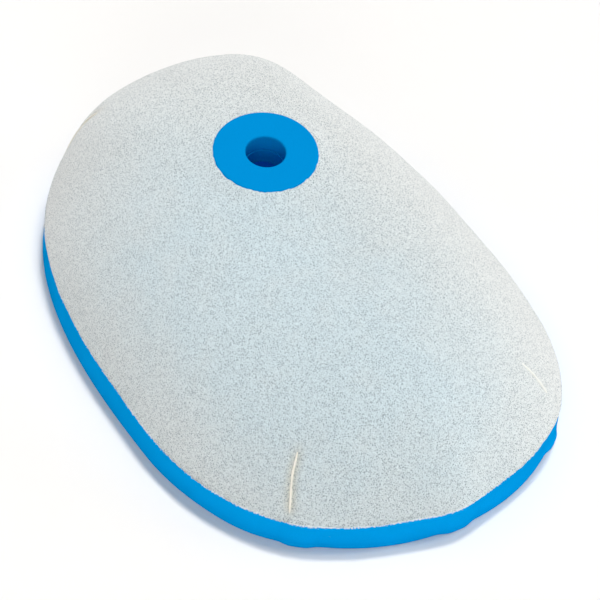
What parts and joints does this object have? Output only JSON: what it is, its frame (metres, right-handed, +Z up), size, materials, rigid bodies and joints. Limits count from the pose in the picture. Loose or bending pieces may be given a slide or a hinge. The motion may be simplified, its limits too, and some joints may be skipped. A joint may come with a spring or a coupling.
{
  "type": "air filter",
  "caption": "Domed dual-ply foam air filter element for an off-road motorcycle, on a soft seal ring, with a washered bolt hole in its crown.",
  "frame": {"origin": "middle of the element's overall box, on the plane of the sealing face", "axes": "+X along the long axis to the low nose, +Y to the side, +Z up from the sealing face to the crown"},
  "size_m": [0.2513, 0.161, 0.0798],
  "materials": {
    "coarse_foam": "open-cell polyurethane foam, coarse, white",
    "fine_foam": "open-cell polyurethane foam, fine, blue",
    "seal_foam": "dense foam with a sealed skin, blue",
    "washer_rubber": "moulded soft polyurethane, satin blue",
    "glue": "cured flexible adhesive, cream"
  },
  "bodies": {
    "root": {"seal_ring": "seal_foam", "rim_bond": "glue", "inner_foam": "fine_foam", "outer_foam": "coarse_foam", "front_left_seam": "glue", "front_right_seam": "glue", "rear_left_seam": "glue", "rear_right_seam": "glue", "inner_washer": "washer_rubber", "inner_washer_bond": "glue", "outer_washer": "washer_rubber", "outer_washer_bond": "glue"}
  },
  "joints": []
}
